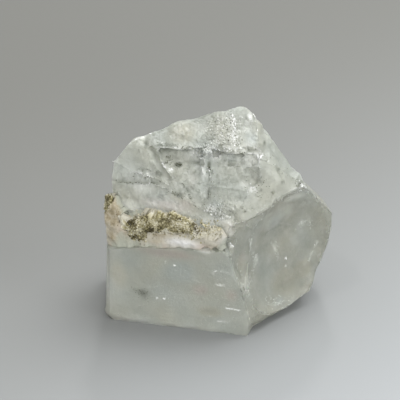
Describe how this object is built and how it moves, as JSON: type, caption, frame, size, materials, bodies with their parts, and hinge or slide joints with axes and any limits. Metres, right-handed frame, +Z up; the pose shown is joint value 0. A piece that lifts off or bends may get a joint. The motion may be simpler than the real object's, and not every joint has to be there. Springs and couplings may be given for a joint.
{
  "type": "rough topaz crystal",
  "caption": "Rough pale topaz crystal with conchoidal fractures, a feldspar seam and flaky mica on its front ledge, resting on its cleavage base.",
  "frame": {"origin": "bottom centre of the specimen's box, on the surface it rests on", "axes": "+Z up, -Y towards the ledge with the seam and the mica, +X towards the lobe"},
  "size_m": [0.032, 0.021, 0.0283],
  "materials": {
    "topaz": "pale grey-green translucent crystal, glassy where cleaved, frosted and sparkling where fractured",
    "feldspar": "dull pinkish cream, granular",
    "mica": "dark olive-brown flakes with a pearly glint"
  },
  "bodies": {
    "root": {"crystal": "topaz", "feldspar_seam": "feldspar", "mica_crust": "mica", "mica_tuft": "mica"}
  },
  "joints": []
}
